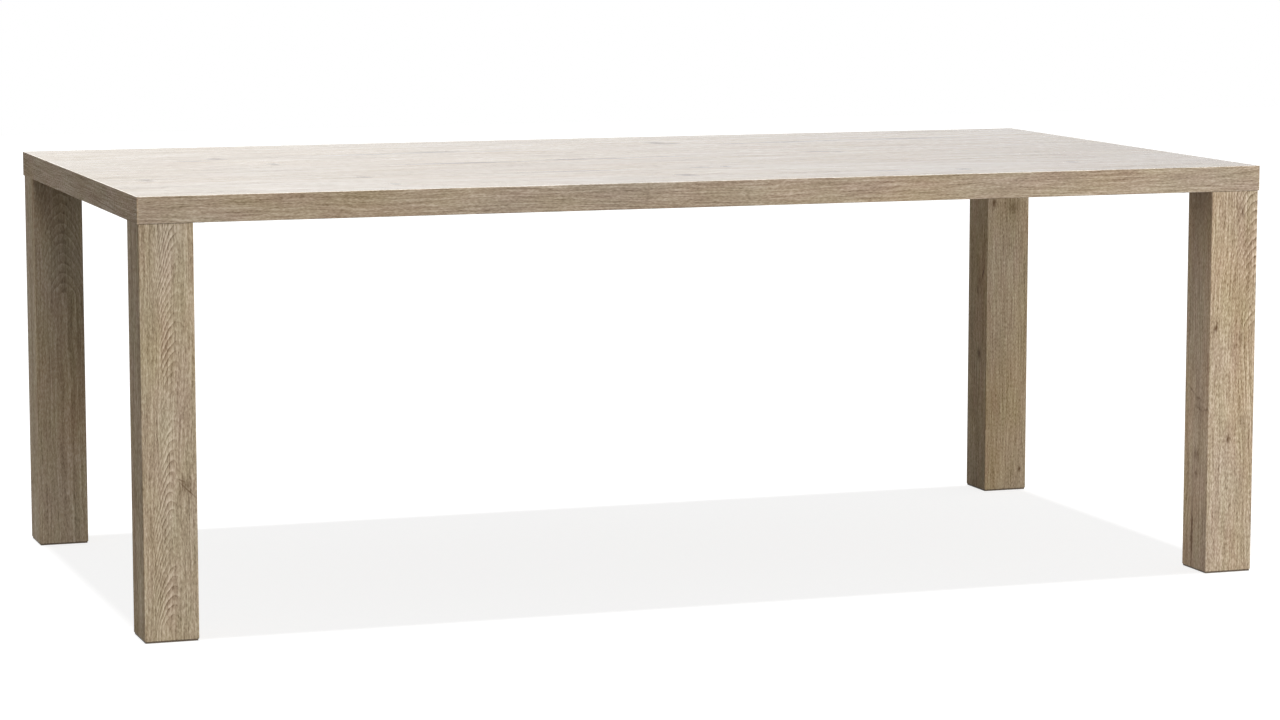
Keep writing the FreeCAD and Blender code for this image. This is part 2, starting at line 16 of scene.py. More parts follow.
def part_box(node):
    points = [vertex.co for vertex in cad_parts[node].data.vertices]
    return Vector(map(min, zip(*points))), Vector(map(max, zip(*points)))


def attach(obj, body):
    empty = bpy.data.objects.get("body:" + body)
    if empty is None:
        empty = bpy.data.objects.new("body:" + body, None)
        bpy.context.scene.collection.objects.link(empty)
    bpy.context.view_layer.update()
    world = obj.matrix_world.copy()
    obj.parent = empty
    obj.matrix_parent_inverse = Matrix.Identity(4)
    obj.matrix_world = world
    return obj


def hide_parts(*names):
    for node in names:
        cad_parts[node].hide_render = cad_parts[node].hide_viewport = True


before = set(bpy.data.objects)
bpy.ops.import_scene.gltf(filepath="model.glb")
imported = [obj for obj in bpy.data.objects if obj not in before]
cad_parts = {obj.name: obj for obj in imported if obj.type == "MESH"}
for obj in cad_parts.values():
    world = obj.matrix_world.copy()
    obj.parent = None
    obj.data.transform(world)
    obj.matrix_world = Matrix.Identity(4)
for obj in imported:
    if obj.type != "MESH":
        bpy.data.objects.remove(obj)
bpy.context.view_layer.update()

bl_info = {
    "name": "Parsons Dining Table",
    "version": (1, 0, 0),
    "blender": (4, 5, 0),
    "location": "View3D > Sidebar > Table",
    "description": "Models the oak faces of a parsons dining table and sets its stage",
    "category": "Object",
}

BODY = "root"

CORNERS = ("front_left", "front_right", "rear_right", "rear_left")
SIDES = ("front", "right", "rear", "left")
CORE_RAILS = ("front_rail", "rear_rail", "left_rail", "right_rail")

# Smallest length that tells two places on a mesh apart
NEAR = 1e-5

# Least upward part of the normal of a face that looks up
UPWARD = 0.6

# Flats in the bevel round the end of a leg
END_FLATS = 2

# Side of the square floor, and the space between it and the feet, so that no two faces are one
FLOOR_SIDE = 24
FLOOR_GAP = 0.0004

# Width of the camera's sensor in millimetres
SENSOR_WIDTH = 36

# Far lamps: the place that the light of each comes from, and its breadth in degrees
SUNS = {
    "overhead": ((0, 0, 4), 4),
    "key": ((4, -4, 2.9), 30),
    "front": ((-0.4, -5, 3.4), 20),
    "back": ((3.0, 4.5, 1.6), 30),
}

# Small square lamps: the place, the target and the side of each
PANELS = {
    "right": ((1.3, -1.8, 0.55), (1.0, -0.5, 0.35), 0.8),
    "inner": ((0.45, -0.35, 0.20), (1.0, -0.4, 0.20), 0.35),
    "left": ((-1.8, 0.75, 0.15), (-1.05, 0.5, 0.12), 0.4),
}

# Where the mirrored studio changes: the rightward part of a direction, from and to
LEFT_FADE = (-0.25, 0.0)
RIGHT_FADE = (0.20, 0.46)

# Turns of Object coordinates that lay a pattern across and along each face
STAND_FRONT = ((1, 0, 0), (0, 0, 1), (0, -1, 0))
STAND_SIDE = ((0, 1, 0), (0, 0, 1), (1, 0, 0))
LIE_TOP = ((0, 1, 0), (1, 0, 0), (0, 0, -1))
LIE_FRONT = ((0, 0, 1), (1, 0, 0), (0, 1, 0))
LIE_END = ((0, 0, 1), (0, 1, 0), (-1, 0, 0))

# How matt each oak face is: roughness, specular level and strength of the relief
SATIN_TOP = (0.20, 0.5, 0.05)
MATT_OAK = (0.62, 0.06, 0.25)

# How strongly each part of the figure shows. A plain face is one lane, far broader than the face
PLAIN_STRENGTHS = {
    "Lane Width": 10.0,
    "Lane Shift": 0.5,
    "Lane Tone": 0.0,
    "Fineness": 1.0,
    "Stretch": 1.0,
    "Pores": 0.25,
}
LEG_STRENGTHS = {
    **PLAIN_STRENGTHS,
    "Ring": 0.30,
    "Stroke": 0.20,
    "Fibre": 1.30,
    "Fleck": 1.60,
    "Mottle": 0.60,
}
BAND_STRENGTHS = {
    **PLAIN_STRENGTHS,
    "Ring": 0.12,
    "Stroke": 0.15,
    "Fibre": 1.30,
    "Fleck": 1.30,
    "Mottle": 0.35,
}
BACK_STRENGTHS = {
    **PLAIN_STRENGTHS,
    "Fineness": 0.5,
    "Stretch": 0.5,
    "Ring": 0.10,
    "Stroke": 0.15,
    "Fibre": 0.50,
    "Fleck": 0.50,
    "Pores": 0.10,
    "Mottle": 0.30,
}
TOP_STRENGTHS = {
    "Lane Shift": 0.0,
    "Lane Tone": 0.08,
    "Fineness": 0.3,
    "Stretch": 0.4,
    "Ring": 0.20,
    "Stroke": 0.20,
    "Fibre": 1.00,
    "Fleck": 0.90,
    "Pores": 0.25,
    "Mottle": 0.30,
}

# Strengths that differ on the left faces of the left legs and on the left band
LEFT_LEG_CHANGES = {"Fineness": 0.6, "Stretch": 0.8, "Fibre": 1.40, "Fleck": 1.80, "Mottle": 1.00}
LEFT_BAND_CHANGES = {"Stretch": 0.6, "Fibre": 1.40, "Fleck": 1.70, "Mottle": 0.60}

# How light each edge band is beside the others, as a whole or in red, green and blue
BAND_SHADES = {"front": 1.0, "right": 1.0, "rear": 1.0, "left": Vector((1.07, 1.05, 1.02))}

# How the oak of the top, of the upper faces of its bands, of the legs and of the bands' other faces
# differs from the plain oak, in red, green and blue. The lighter, cooler top is painted light and sheen
# that the top catches, and the far paler upper faces of the bands are a painted highlight along the edge
# of the top
TOP_PAINTED_LIGHT = (1.13, 1.22, 1.34)
EDGE_PAINTED_HIGHLIGHT = (2.00, 2.30, 2.80)
LEG_TINT = (1.0, 1.0, 0.945)
BAND_TINT = (0.965, 0.965, 0.965)

# Knots, streaks and cracks of the top: across, along, half width, half length, turn and depth of each
# soft oval. The longer ones lie where the planks of the decor meet. The last is a broad faint oval that
# makes the left end a little darker
TOP_MARKS = (
    (0.370, 0.190, 0.030, 0.014, 0.0, 0.95),
    (0.350, 0.215, 0.011, 0.016, 0.0, 0.90),
    (0.235, -0.740, 0.018, 0.014, 0.0, 0.95),
    (0.195, -0.795, 0.011, 0.022, 0.0, 0.65),
    (0.075, -0.665, 0.018, 0.008, 0.0, 0.95),
    (-0.410, -0.025, 0.020, 0.014, 0.0, 0.95),
    (-0.215, -0.965, 0.022, 0.010, 0.0, 0.80),
    (-0.270, -0.585, 0.014, 0.011, 0.0, 0.80),
    (-0.435, -0.570, 0.016, 0.008, 0.0, 0.65),
    (-0.355, 0.760, 0.011, 0.008, 0.0, 0.90),
    (-0.445, 0.500, 0.010, 0.012, 0.0, 0.70),
    (-0.245, 0.110, 0.011, 0.007, 0.0, 0.90),
    (0.275, -0.300, 0.014, 0.050, 0.0, 0.95),
    (0.255, -0.440, 0.009, 0.060, 0.0, 0.65),
    (0.265, -0.175, 0.008, 0.030, 0.0, 0.70),
    (0.305, 0.335, 0.008, 0.020, 0.0, 0.70),
    (0.315, 0.445, 0.010, 0.055, 0.0, 0.85),
    (0.330, 0.550, 0.008, 0.028, 0.0, 0.65),
    (0.330, 0.720, 0.011, 0.100, 0.0, 0.80),
    (-0.010, -0.315, 0.011, 0.090, 0.0, 0.90),
    (0.010, -0.110, 0.011, 0.042, 0.0, 0.95),
    (0.010, -0.025, 0.009, 0.026, 0.0, 0.80),
    (0.020, 0.070, 0.007, 0.045, 0.0, 0.60),
    (0.050, 0.410, 0.010, 0.028, 0.0, 0.90),
    (0.035, 0.445, 0.010, 0.010, 0.0, 0.85),
    (-0.260, -0.190, 0.008, 0.080, 0.0, 0.60),
    (-0.250, 0.060, 0.008, 0.016, 0.0, 0.70),
    (-0.435, 0.355, 0.007, 0.030, 0.0, 0.60),
    (0.000, -1.000, 0.600, 0.120, 0.0, 0.06),
)

# A knot too far off to show
NO_KNOT = (9.0, 9.0, 0.01)


def figure_of(seed, heart, arch, flame=0.05, knot=NO_KNOT, second_knot=NO_KNOT, flank=0.0):
    """Names the figure of one face: its seed, its knots, and its arches with their heart and reach.

    The flank is how far to one side of their axis the arches show most."""
    return {
        "Seed": seed,
        "Heart": heart,
        "Arch": arch,
        "Flame": flame,
        "Knot": knot,
        "Second Knot": second_knot,
        "Flank": flank,
    }


def unseen_figure(number):
    """Gives a leg face that the camera doesn't see a figure of its own, varied by its number."""
    heart_across = 0.05 * math.cos(2.4 * number)
    heart_along = 0.7 * (number % 4) / 4 - 0.1
    lean = 0.03 * math.sin(1.7 * number)
    knot_across = 0.03 * math.sin(3.1 * number)
    knot_along = 0.08 * (number % 7) + 0.1
    return figure_of(
        200.0 + 7.0 * number,
        heart=(heart_across, heart_along, lean),
        arch=(3000, 40, 0),
        flame=0.04,
        knot=(knot_across, knot_along, 0.005),
    )


# Figures of the top, of the backing and of the bands, whose rings run nearly straight
TOP_FIGURE = figure_of(5.0, heart=(-2.0, 0.0, 0.0), arch=(4, 0.6, 0), flame=9.0)
BACK_FIGURE = figure_of(307.0, heart=(-2.0, 0.0, 0.0), arch=(25, 1, 0), flame=9.0)
BAND_FIGURES = {
    side: figure_of(101.0 + 13.0 * number, heart=(-0.5, 0.0, 0.0), arch=(200, 1.5, 0), flame=9.0)
    for number, side in enumerate(SIDES)
}

# Leg faces with a figure of their own. Each has its shade beside the others, as a whole or in red, green
# and blue, its figure, its marks as those of the top, and the strengths that differ. On two faces the
# broadest mark is painted shade under the top of the table.
# In a figure the heart is across, along and lean, the arch is narrowness, climb and eye, and a
# knot is across, along and size
LEG_FACES = {
    "front_left_leg_front_panel": (
        1.03,
        figure_of(
            3.0,
            heart=(0.0045, 0.03, 0.017),
            arch=(4200, 60, 0),
            flame=0.022,
            knot=(0.028, 0.268, 0.010),
            flank=-0.018,
        ),
        (
            (0.028, 0.268, 0.010, 0.012, 0.0, 0.30),
            (0.031, 0.260, 0.0012, 0.021, -0.8, 0.75),
            (0.020, 0.277, 0.0012, 0.008, -1.2, 0.60),
            (0.012, 0.506, 0.0022, 0.016, 0.0, 0.35),
        ),
        {"Ring": 1.55},
    ),
    "front_left_leg_left_panel": (
        Vector((0.98, 0.935, 0.87)),
        figure_of(17.0, heart=(-0.30, 0.30, 0.02), arch=(400, 4, 0)),
        ((-0.042, 0.512, 0.005, 0.014, 0.0, 0.35), (-0.036, 0.270, 0.006, 0.022, 0.0, 0.35)),
        LEFT_LEG_CHANGES,
    ),
    "front_right_leg_front_panel": (
        Vector((1.05, 1.05, 1.08)),
        figure_of(
            29.0,
            heart=(0.058, 0.46, -0.06),
            arch=(1500, 60, 0),
            knot=(-0.006, 0.251, 0.005),
            second_knot=(-0.034, 0.461, 0.005),
        ),
        (
            (-0.034, 0.461, 0.0030, 0.008, 0.25, 0.90),
            (-0.006, 0.251, 0.0028, 0.007, 0.0, 0.90),
            (0.016, 0.675, 0.0024, 0.010, -0.2, 0.80),
            (0.018, 0.440, 0.0050, 0.014, 0.0, 0.40),
            (0.023, 0.284, 0.0060, 0.012, 0.0, 0.35),
        ),
        {"Ring": 1.70, "Fleck": 1.90},
    ),
    "front_right_leg_left_panel": (
        Vector((1.04, 0.99, 0.98)),
        figure_of(
            41.0,
            heart=(0.055, 0.30, 0.05),
            arch=(2500, 12, 40),
            flame=0.060,
            knot=(-0.010, 0.312, 0.008),
        ),
        (
            # Painted shade: a broad dark patch at the top of the face, under the top of the table
            (0.000, 0.700, 0.060, 0.075, 0.0, 0.35),
            (-0.002, 0.218, 0.010, 0.012, 0.0, 0.55),
            (-0.003, 0.182, 0.004, 0.006, 0.0, 0.80),
            (0.010, 0.075, 0.0040, 0.060, 0.0, 0.95),
            (0.019, 0.337, 0.0022, 0.019, 1.1, 0.50),
            (-0.011, 0.325, 0.0022, 0.013, 1.3, 0.50),
            (-0.011, 0.306, 0.0022, 0.012, 1.35, 0.50),
            (-0.038, 0.307, 0.0022, 0.012, -1.35, 0.50),
        ),
        {},
    ),
    "rear_left_leg_front_panel": (
        0.93,
        figure_of(53.0, heart=(0.005, 0.49, -0.02), arch=(2000, 52, 0), flame=0.060),
        # The first mark is painted shade: a broad dark patch at the top of the face, under the top of the
        # table
        ((0.000, 0.705, 0.060, 0.060, 0.0, 0.30), (0.010, 0.500, 0.003, 0.030, 0.0, 0.25)),
        {"Ring": -0.80, "Stroke": 0.12, "Fibre": 0.80, "Fleck": 1.40, "Pores": 0.10},
    ),
    "rear_left_leg_left_panel": (
        1.0,
        figure_of(67.0, heart=(-0.30, 0.40, 0.01), arch=(400, 4, 0)),
        (),
        LEFT_LEG_CHANGES,
    ),
    "rear_right_leg_front_panel": (
        Vector((0.94, 0.93, 0.91)),
        figure_of(
            79.0,
            heart=(0.070, 0.30, 0.02),
            arch=(1800, 6, 20),
            knot=(-0.032, 0.611, 0.004),
            second_knot=(0.013, 0.600, 0.012),
        ),
        (
            (-0.032, 0.611, 0.0038, 0.009, 0.0, 0.95),
            (0.013, 0.600, 0.012, 0.016, 0.0, 0.35),
            (0.033, 0.044, 0.0030, 0.006, 0.0, 0.85),
        ),
        {},
    ),
    "rear_right_leg_left_panel": (
        Vector((1.11, 1.06, 1.00)),
        figure_of(
            83.0,
            heart=(-0.05, 0.30, 0.03),
            arch=(2400, 10, 30),
            flame=0.060,
            knot=(-0.010, 0.289, 0.008),
            second_knot=(-0.015, 0.445, 0.010),
        ),
        (
            (-0.010, 0.289, 0.008, 0.013, 0.0, 0.70),
            (-0.028, 0.462, 0.0030, 0.014, -0.45, 0.75),
            (0.000, 0.423, 0.0030, 0.012, 0.50, 0.65),
        ),
        {},
    ),
}


def length_setting(name, description, default, least):
    """Makes a setting for a length that has a least value."""
    return FloatProperty(
        name=name, description=description, default=default, min=least, unit="LENGTH"
    )


def light_setting(name, description, default):
    """Makes a setting for how strong a light is."""
    return FloatProperty(name=name, description=description, default=default, min=0)


def colour_setting(name, description, default):
    """Makes a setting for a colour."""
    return FloatVectorProperty(
        name=name, description=description, default=default, subtype="COLOR", min=0, max=1
    )


class TableSizes(bpy.types.PropertyGroup):
    """Small forms of the oak faces"""

    leg_round: length_setting(
        "Leg corner round",
        "Radius along the four upright corners of a leg",
        0.0015,
        0.0002,
    )
    leg_end_bevel: length_setting(
        "Leg end bevel",
        "Bevel round the top and the foot of a leg",
        0.0012,
        0.0002,
    )
    panel_thickness: length_setting(
        "Leg panel thickness",
        "Thickness of the mitred panels of a leg",
        0.016,
        0.004,
    )
    band_round: length_setting(
        "Edge band round",
        "Radius along the outer corners of the edge bands",
        0.001,
        0.0002,
    )
    board_ease: length_setting(
        "Board ease",
        "Ease along the corners of the top board, where it meets the edge bands",
        0.0003,
        0.0001,
    )
    round_steps: IntProperty(
        name="Round steps",
        description="Flats in each rounded corner",
        default=4,
        min=1,
        max=12,
    )
    smooth_angle: FloatProperty(
        name="Smooth angle",
        description="Faces that meet at less than this angle are shaded as one",
        default=math.radians(35),
        subtype="ANGLE",
    )


class OakFinish(bpy.types.PropertyGroup):
    """Colours of the oak decor"""

    dark: colour_setting(
        "Dark grain",
        "Colour of the pores and of the porous part of a ring",
        (0.150, 0.102, 0.060),
    )
    middle: colour_setting("Middle grain", "Main colour of the oak", (0.362, 0.281, 0.198))
    light: colour_setting("Light grain", "Colour of the dense part of a ring", (0.600, 0.503, 0.394))
    # This colour also paints the shade under the top of the table on two leg faces
    stain_and_shade: colour_setting("Stain", "Colour of the knots, streaks and cracks", (0.100, 0.055, 0.028))
    board_width: length_setting(
        "Top board lanes",
        "Width of the lanes of one tone along the top",
        0.275,
        0.02,
    )


class StageSettings(bpy.types.PropertyGroup):
    """Camera, lamps and floor"""

    camera_place: FloatVectorProperty(
        name="Camera place",
        description="Where the camera stands",
        default=(-2.305, -6.779, 1.296),
        subtype="TRANSLATION",
        unit="LENGTH",
    )
    camera_turn: FloatVectorProperty(
        name="Camera turn",
        description="How the camera is turned",
        default=(math.radians(82.67), 0.0, math.radians(-18.99)),
        subtype="EULER",
    )
    lens: FloatProperty(
        name="Lens",
        description="Focal length of the camera in millimetres",
        default=106.45,
        min=10,
    )
    overhead_strength: light_setting(
        "Overhead lamp",
        "Strength of the lamp straight above the table",
        2.4,
    )
    key_strength: light_setting("Key lamp", "Strength of the broad lamp at the front right", 1.90)
    front_strength: light_setting("Front lamp", "Strength of the lamp straight before the table", 0.90)
    back_strength: light_setting("Back lamp", "Strength of the lamp behind the table", 1.3)
    right_power: light_setting(
        "Right lamp",
        "Power in watts of the small lamp before the right front leg",
        5.5,
    )
    inner_power: light_setting(
        "Inner lamp",
        "Power in watts of the small lamp under the top, turned to the right",
        1.36,
    )
    left_power: light_setting(
        "Left lamp",
        "Power in watts of the small lamp at the left of the rear left leg",
        1.0,
    )
    ambient: light_setting("Studio light", "Strength of the even light from all round", 0.28)
    left_dimming: FloatProperty(
        name="Left of the studio",
        description="How light the left of the studio is where the table mirrors it",
        default=0.06,
        min=0,
        max=1,
    )
    right_colour: colour_setting(
        "Right of the studio",
        "Colour of the right of the studio where the table mirrors it",
        (0.65, 0.68, 0.735),
    )
    floor_colour: colour_setting("Floor", "Colour of the floor", (0.40, 0.40, 0.40))
    floor_glow: FloatProperty(
        name="Floor white",
        description="How white the floor is to the camera where the table shades it",
        default=0.82,
        min=0,
        max=1,
    )


def deselect_all():
    """Leaves nothing selected, so that an operator acts on one piece alone."""
    bpy.ops.object.select_all(action="DESELECT")


def start_block(name, low, high):
    """Adds a block between two corners, with its place in its mesh."""
    deselect_all()
    middle = (Vector(low) + Vector(high)) / 2
    bpy.ops.mesh.primitive_cube_add(size=1, location=middle)
    block = bpy.context.active_object
    block.name = name
    block.data.name = name
    block.scale = Vector(high) - Vector(low)
    bpy.ops.object.transform_apply(location=True, rotation=True, scale=True)
    return block


def ease_edges(wanted, width, steps):
    """Bevels the edges of the active piece whose two ends pass the test."""
    piece = bpy.context.active_object
    bpy.ops.object.mode_set(mode="EDIT")
    bpy.ops.mesh.select_mode(type="EDGE")
    bpy.ops.mesh.select_all(action="DESELECT")
    mesh = bmesh.from_edit_mesh(piece.data)
    chosen = [edge for edge in mesh.edges if wanted(*(corner.co for corner in edge.verts))]
    if not chosen:
        raise RuntimeError(f"{piece.name} has no edge to ease")
    for edge in chosen:
        edge.select_set(True)
    bmesh.update_edit_mesh(piece.data)
    bpy.ops.mesh.bevel(offset=width, segments=steps, affect="EDGES")
    bpy.ops.object.mode_set(mode="OBJECT")


def saw_off(place, facing):
    """Cuts the active piece with a plane, closes the cut and drops what lies in front of it."""
    bpy.ops.object.mode_set(mode="EDIT")
    bpy.ops.mesh.select_all(action="SELECT")
    bpy.ops.mesh.bisect(plane_co=place, plane_no=facing, use_fill=True, clear_outer=True)
    bpy.ops.object.mode_set(mode="OBJECT")


def smooth_rounds(piece, angle):
    """Shades the rounded corners of a piece as curves and keeps its flats flat."""
    deselect_all()
    piece.select_set(True)
    bpy.context.view_layer.objects.active = piece
    bpy.ops.object.shade_smooth_by_angle(angle=angle)
    weighted = piece.modifiers.new("flat_faces", "WEIGHTED_NORMAL")
    weighted.keep_sharp = True
    bpy.ops.object.modifier_apply(modifier=weighted.name)


def fit_piece(piece, node, material):
    """Gives a piece its finish and puts it in the place of a CAD node."""
    piece.data.materials.clear()
    piece.data.materials.append(material)
    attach(piece, BODY)
    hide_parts(node)


def dress_node(node, material):
    """Gives a CAD node that stays in the scene a finish of its own."""
    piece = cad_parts[node]
    for place in piece.material_slots:
        place.material = material


def add_node(tree, kind, inputs=None, **settings):
    """Adds a node, sets it and joins or fills its inputs."""
    node = tree.nodes.new(kind)
    for name, value in settings.items():
        setattr(node, name, value)
    for name, value in (inputs or {}).items():
        socket = node.inputs[name]
        if isinstance(value, bpy.types.NodeSocket):
            tree.links.new(value, socket)
        else:
            socket.default_value = value
    return node


def reckon(tree, operation, *values):
    """Adds a sum of one, two or three values and returns its result."""
    node = add_node(tree, "ShaderNodeMath", dict(enumerate(values)), operation=operation)
    return node.outputs[0]


def spread(tree, value, low, high, new_low=0.0, new_high=1.0):
    """Carries a range of a value over to another range, held at both ends."""
    node = add_node(
        tree,
        "ShaderNodeMapRange",
        {"Value": value, "From Min": low, "From Max": high, "To Min": new_low, "To Max": new_high},
    )
    return node.outputs["Result"]


def cloud(tree, across, along, depth, detail=2.0, roughness=0.5):
    """Adds soft noise at a place and returns it centred on zero."""
    place = add_node(tree, "ShaderNodeCombineXYZ", {"X": across, "Y": along, "Z": depth})
    noise = add_node(
        tree,
        "ShaderNodeTexNoise",
        {"Vector": place.outputs[0], "Scale": 1.0, "Detail": detail, "Roughness": roughness},
    )
    return reckon(tree, "SUBTRACT", noise.outputs[0], 0.5)


def blend_colours(tree, share, first, second):
    """Mixes two colours by a share between 0 and 1."""
    node = add_node(
        tree,
        "ShaderNodeMix",
        {0: share, 6: first, 7: second},
        data_type="RGBA",
    )
    return node.outputs[2]


def object_place(tree, rows, middle):
    """Turns Object coordinates so that X runs across the grain and Y along it."""
    turn = Matrix(rows)
    coordinates = add_node(tree, "ShaderNodeTexCoord")
    mapping = add_node(
        tree,
        "ShaderNodeMapping",
        {
            "Vector": coordinates.outputs["Object"],
            "Location": -(turn @ Vector(middle)),
            "Rotation": turn.to_euler(),
        },
        vector_type="POINT",
    )
    return mapping.outputs[0]


def start_material(name):
    """Adds a material and returns it with its nodes and its surface shader."""
    material = bpy.data.materials.new(name)
    material.use_nodes = True
    tree = material.node_tree
    return material, tree, tree.nodes["Principled BSDF"]


def roughen(tree, shader, height, strength, depth):
    """Puts a fine relief on a surface."""
    bump = add_node(tree, "ShaderNodeBump", {"Height": height, "Strength": strength, "Distance": depth})
    tree.links.new(bump.outputs[0], shader.inputs["Normal"])


# Sockets of the oak figure, by kind
OAK_INPUTS = {
    "NodeSocketVector": ("Place", "Heart", "Arch", "Knot", "Second Knot"),
    "NodeSocketFloat": (
        *("Seed", "Flame", "Flank", "Lane Width", "Lane Shift", "Lane Tone", "Fineness", "Stretch"),
        *("Ring", "Stroke", "Fibre", "Fleck", "Pores", "Mottle"),
    ),
    "NodeSocketColor": ("Dark", "Middle", "Light"),
}
OAK_OUTPUTS = {"NodeSocketColor": ("Colour",), "NodeSocketFloat": ("Tone", "Height")}

# Noise of the figure: waves to the metre across and along the grain, and the layer that each is
# read from. Those of the stroke across the grain are to the ring
GRAIN_FIELDS = {
    "sway": (7.0, 1.8, 3.0),
    "waver": (60.0, 14.0, 11.0),
    "ring_wobble": (110.0, 26.0, 17.0),
    "ring_fade": (34.0, 8.0, 19.0),
    "stroke": (2.6, 26.0, 23.0),
    "fibre": (480.0, 14.0, 31.0),
    "fleck": (600.0, 160.0, 37.0),
    "line_sway": (60.0, 5.0, 43.0),
    "hair": (800.0, 60.0, 47.0),
    "line_fade": (50.0, 16.0, 53.0),
    "mottle": (26.0, 3.0, 59.0),
    "warmth": (9.0, 3.2, 71.0),
    "redness": (40.0, 9.0, 83.0),
}

# Ranges of the figure: low, high, and what they become where that isn't 0 and 1
GRAIN_RANGES = {
    "ring_rise": (0.0, 0.16),
    "ring_fall": (0.25, 1.0, 1.0, 0.40),
    "ring_fade": (-0.12, 0.12, 0.25, 1.0),
    "early_wood": (0.10, 0.60, 1.0, 0.45),
    "stroke": (-0.14, 0.14, -0.25, 0.25),
    "line_fade": (-0.1, 0.15),
    "pores": (0.08, 0.16),
    "dark_tones": (-0.3, 0.5),
    "light_tones": (0.5, 1.3),
    "warmth": (-0.2, 0.2, 0.88, 1.12),
    "redness": (-0.2, 0.2, 0.491, 0.509),
}

# How far apart the lanes lie in the noise
LANE_STEP = 37.0

# How far the grain line sways and wavers, in metres
SWAY_REACH = 0.036
WAVER_REACH = 0.0045

# How many rings the wobble and a knot add, and the level of a ring that leaves the tone as it is
WOBBLE_RINGS = 0.45
KNOT_RINGS = 2.5
RING_LEVEL = 0.64

# Fine lines: radians to the metre, radians of sway, and weight beside the fibre
LINE_TURNS = 760.0
LINE_SWAY = 12.0
LINE_WEIGHT = 0.12

# Knots: how a length along the grain counts beside one across it, how fast the halo and the core
# fall off, and how much they darken
KNOT_STRETCH = 0.5
HALO_FALL = -0.35
CORE_FALL = -4.0
HALO_TONE = -0.10
CORE_TONE = -0.30

# Tone of the plain oak, between dark and light
MIDDLE_TONE = 0.5

# Relief of the oak: shares of flecks and pores, and its depth
FLECK_HEIGHT = 0.5
PORE_HEIGHT = -0.8
OAK_DEPTH = 0.0003

# Tones between which the roughness changes, and how far to each side
GLOSS_TONES = (0.2, 0.8)
GLOSS_SWING = 0.05

# Ragged outline of the marks: waves to the metre across and along, and reach in half widths
RAGGED_ACROSS = 160.0
RAGGED_ALONG = 60.0
RAGGED_REACH = 2.5

# Grain of the finishes without oak: scale and weight of its cells, its range in the two tones and
# in the roughness, the swing of the roughness, and the strength of the relief
CELL_SCALE = 0.6
CELL_WEIGHT = 0.4
TWO_TONES = (0.45, 0.95)
ROUGH_TONES = (0.3, 0.7)
ROUGH_SWING = 0.06
PLAIN_RELIEF = 0.3

# These finishes: name, scale of the grain, dark and light tone, roughness and depth of the relief
POWDER_COAT = ("black_powder_coat", 900.0, (0.012, 0.012, 0.013), (0.03, 0.03, 0.032), 0.5, 0.0002)
BRIGHT_ZINC = ("bright_zinc", 500.0, (0.50, 0.52, 0.55), (0.66, 0.68, 0.70), 0.32, 0.00005)
PAD_PLASTIC = ("brown_plastic", 700.0, (0.090, 0.066, 0.043), (0.150, 0.112, 0.074), 0.55, 0.0002)
CHIPBOARD = ("chipboard", 260.0, (0.30, 0.20, 0.11), (0.56, 0.42, 0.26), 0.8, 0.0005)
KRAFT_PAPER = ("kraft_paper", 300.0, (0.30, 0.19, 0.10), (0.42, 0.28, 0.16), 0.85, 0.0002)
BEECH = ("beech", 350.0, (0.48, 0.31, 0.18), (0.62, 0.43, 0.27), 0.6, 0.0002)


def near_knot(tree, line, along, knot):
    """Returns how close a place is to a knot, and to the dark middle of it, from 1 to 0."""
    knot_across, knot_along, size = add_node(tree, "ShaderNodeSeparateXYZ", {0: knot}).outputs
    side = reckon(tree, "DIVIDE", reckon(tree, "SUBTRACT", line, knot_across), size)
    up = reckon(tree, "DIVIDE", reckon(tree, "SUBTRACT", along, knot_along), size)
    up = reckon(tree, "MULTIPLY", up, KNOT_STRETCH)
    far = reckon(tree, "MULTIPLY_ADD", side, side, reckon(tree, "MULTIPLY", up, up))
    halo = reckon(tree, "EXPONENT", reckon(tree, "MULTIPLY", far, HALO_FALL))
    core = reckon(tree, "EXPONENT", reckon(tree, "MULTIPLY", far, CORE_FALL))
    return halo, core


